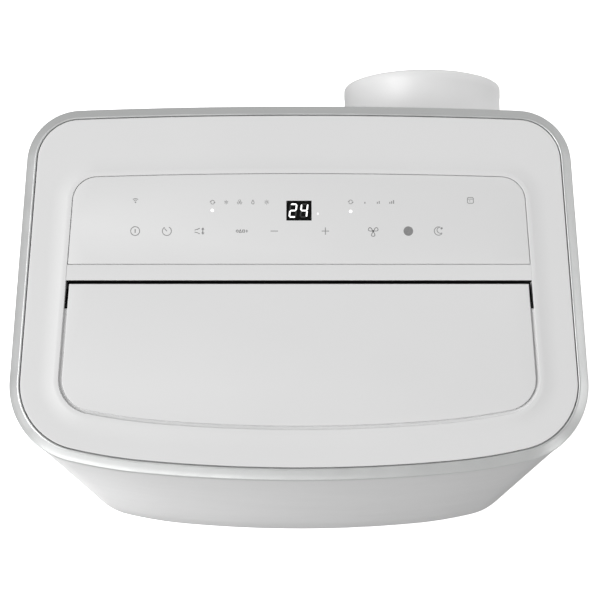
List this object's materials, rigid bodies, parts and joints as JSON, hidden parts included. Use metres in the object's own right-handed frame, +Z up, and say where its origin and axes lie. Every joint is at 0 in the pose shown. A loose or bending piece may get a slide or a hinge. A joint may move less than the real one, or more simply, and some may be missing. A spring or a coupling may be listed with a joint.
{
  "type": "portable air conditioner",
  "caption": "Upright portable air conditioner with a hinged top outlet flap, touch panel, round exhaust collar at the back, intake grilles and swivel castors.",
  "frame": {"origin": "middle of the bounding box at floor level, where the castor wheels stand", "axes": "+Z up, -Y is the front, +Y points out of the exhaust collar, +X is the right side seen from the front"},
  "size_m": [0.5014, 0.3919, 0.715],
  "materials": {
    "white_casing": "fine satin moulded plastic",
    "control_surface": "smooth satin plastic with printed grey marks",
    "silver_trim": "satin silver paint",
    "display_black": "gloss black window",
    "circuit_board": "solder mask",
    "grey_plastic": "plain moulded plastic",
    "castor_tread": "hard nylon",
    "steel": "zinc plated",
    "motor_shell": "galvanised",
    "compressor_black": "black paint",
    "coil_fins": "thin pressed fins",
    "copper": "bare copper tube",
    "rubber": "soft rubber",
    "box_plastic": "moulded plastic"
  },
  "bodies": {
    "casing": {"accumulator": "compressor_black", "base_pan": "grey_plastic", "case_screws": "steel", "castor_sockets": "grey_plastic", "compressor": "compressor_black", "compressor_feet": "rubber", "condenser_coil": "coil_fins", "control_board": "circuit_board", "control_panel": "control_surface", "cord_gland": "rubber", "discharge_pipe": "copper", "display_window": "display_black", "divider_tray": "grey_plastic", "electrical_box": "box_plastic", "evaporator_coil": "coil_fins", "evaporator_plenum": "grey_plastic", "exhaust_duct": "grey_plastic", "flap_bushes": "grey_plastic", "flap_motor": "steel", "front_shell": "white_casing", "hot_fan_housing": "grey_plastic", "hot_fan_motor": "motor_shell", "left_grip": "white_casing", "lower_filter": "grey_plastic", "lower_grille": "white_casing", "outlet_duct": "grey_plastic", "port_ring": "white_casing", "rear_shell_lower": "white_casing", "rear_shell_upper": "white_casing", "right_grip": "white_casing", "rim_ring": "silver_trim", "room_fan_housing": "grey_plastic", "room_fan_motor": "motor_shell", "suction_pipe": "copper", "top_cover": "white_casing", "upper_grille": "white_casing"},
    "flap": {"flap": "white_casing"},
    "vane_link": {"vane_link": "grey_plastic"},
    "room_fan": {"room_fan_wheel": "grey_plastic", "room_fan_shaft": "steel"},
    "hot_fan": {"hot_fan_wheel": "grey_plastic", "hot_fan_shaft": "steel"},
    "filter": {"upper_filter": "grey_plastic"},
    "collar": {"exhaust_collar": "white_casing"},
    "middle_plug": {"middle_drain_plug": "rubber"},
    "lower_plug": {"lower_drain_plug": "rubber"},
    "guide_vane_1": {"guide_vane_1": "grey_plastic"},
    "guide_vane_2": {"guide_vane_2": "grey_plastic"},
    "guide_vane_3": {"guide_vane_3": "grey_plastic"},
    "guide_vane_4": {"guide_vane_4": "grey_plastic"},
    "guide_vane_5": {"guide_vane_5": "grey_plastic"},
    "castor_fork_1": {"castor_fork_1": "grey_plastic"},
    "castor_wheel_1": {"castor_wheel_1": "castor_tread"},
    "castor_fork_2": {"castor_fork_2": "grey_plastic"},
    "castor_wheel_2": {"castor_wheel_2": "castor_tread"},
    "castor_fork_3": {"castor_fork_3": "grey_plastic"},
    "castor_wheel_3": {"castor_wheel_3": "castor_tread"},
    "castor_fork_4": {"castor_fork_4": "grey_plastic"},
    "castor_wheel_4": {"castor_wheel_4": "castor_tread"}
  },
  "joints": [
    {"name": "flap_hinge", "type": "hinge", "parent": "casing", "child": "flap", "pos_m": [0, -0.044, 0.707], "axis": [-1, 0, 0], "range_deg": [0, 70]},
    {"name": "vane_1_hinge", "type": "hinge", "parent": "casing", "child": "guide_vane_1", "pos_m": [-0.14, -0.08, 0.66], "axis": [0, 1, 0], "range_deg": [-30, 30]},
    {"name": "vane_2_hinge", "type": "hinge", "parent": "casing", "child": "guide_vane_2", "pos_m": [-0.07, -0.08, 0.66], "axis": [0, 1, 0], "range_deg": [-30, 30]},
    {"name": "vane_3_hinge", "type": "hinge", "parent": "casing", "child": "guide_vane_3", "pos_m": [0, -0.08, 0.66], "axis": [0, 1, 0], "range_deg": [-30, 30]},
    {"name": "vane_4_hinge", "type": "hinge", "parent": "casing", "child": "guide_vane_4", "pos_m": [0.07, -0.08, 0.66], "axis": [0, 1, 0], "range_deg": [-30, 30]},
    {"name": "vane_5_hinge", "type": "hinge", "parent": "casing", "child": "guide_vane_5", "pos_m": [0.14, -0.08, 0.66], "axis": [0, 1, 0], "range_deg": [-30, 30]},
    {"name": "link_pivot", "type": "hinge", "parent": "guide_vane_1", "child": "vane_link", "pos_m": [-0.14, -0.0318, 0.674], "axis": [0, 1, 0], "range_deg": [-30, 30]},
    {"name": "room_fan_spin", "type": "hinge", "parent": "casing", "child": "room_fan", "pos_m": [-0.04, -0.08, 0.5], "axis": [0, 1, 0], "continuous": true},
    {"name": "hot_fan_spin", "type": "hinge", "parent": "casing", "child": "hot_fan", "pos_m": [0.1185, 0.04, 0.225], "axis": [0, 1, 0], "continuous": true},
    {"name": "filter_slide", "type": "slide", "parent": "casing", "child": "filter", "axis": [-1, 0, 0], "range_m": [0, 0.225]},
    {"name": "collar_turn", "type": "hinge", "parent": "casing", "child": "collar", "pos_m": [0.1185, 0.17, 0.533], "axis": [0, 1, 0], "range_deg": [0, 20]},
    {"name": "middle_plug_pull", "type": "slide", "parent": "casing", "child": "middle_plug", "axis": [0, 1, 0], "range_m": [0, 0.02]},
    {"name": "lower_plug_pull", "type": "slide", "parent": "casing", "child": "lower_plug", "axis": [0, 1, 0], "range_m": [0, 0.02]},
    {"name": "castor_1_swivel", "type": "hinge", "parent": "casing", "child": "castor_fork_1", "pos_m": [-0.19, -0.12, 0.045], "axis": [0, 0, 1], "continuous": true},
    {"name": "castor_1_roll", "type": "hinge", "parent": "castor_fork_1", "child": "castor_wheel_1", "pos_m": [-0.19, -0.109, 0.019], "axis": [1, 0, 0], "continuous": true},
    {"name": "castor_2_swivel", "type": "hinge", "parent": "casing", "child": "castor_fork_2", "pos_m": [0.19, -0.12, 0.045], "axis": [0, 0, 1], "continuous": true},
    {"name": "castor_2_roll", "type": "hinge", "parent": "castor_fork_2", "child": "castor_wheel_2", "pos_m": [0.19, -0.109, 0.019], "axis": [1, 0, 0], "continuous": true},
    {"name": "castor_3_swivel", "type": "hinge", "parent": "casing", "child": "castor_fork_3", "pos_m": [-0.185, 0.085, 0.045], "axis": [0, 0, 1], "continuous": true},
    {"name": "castor_3_roll", "type": "hinge", "parent": "castor_fork_3", "child": "castor_wheel_3", "pos_m": [-0.185, 0.096, 0.019], "axis": [1, 0, 0], "continuous": true},
    {"name": "castor_4_swivel", "type": "hinge", "parent": "casing", "child": "castor_fork_4", "pos_m": [0.185, 0.085, 0.045], "axis": [0, 0, 1], "continuous": true},
    {"name": "castor_4_roll", "type": "hinge", "parent": "castor_fork_4", "child": "castor_wheel_4", "pos_m": [0.185, 0.096, 0.019], "axis": [1, 0, 0], "continuous": true}
  ],
  "couplings": [
    {"joint": "vane_2_hinge", "follows": "vane_1_hinge", "ratio": 1},
    {"joint": "vane_3_hinge", "follows": "vane_1_hinge", "ratio": 1},
    {"joint": "vane_4_hinge", "follows": "vane_1_hinge", "ratio": 1},
    {"joint": "vane_5_hinge", "follows": "vane_1_hinge", "ratio": 1},
    {"joint": "link_pivot", "follows": "vane_1_hinge", "ratio": -1}
  ]
}
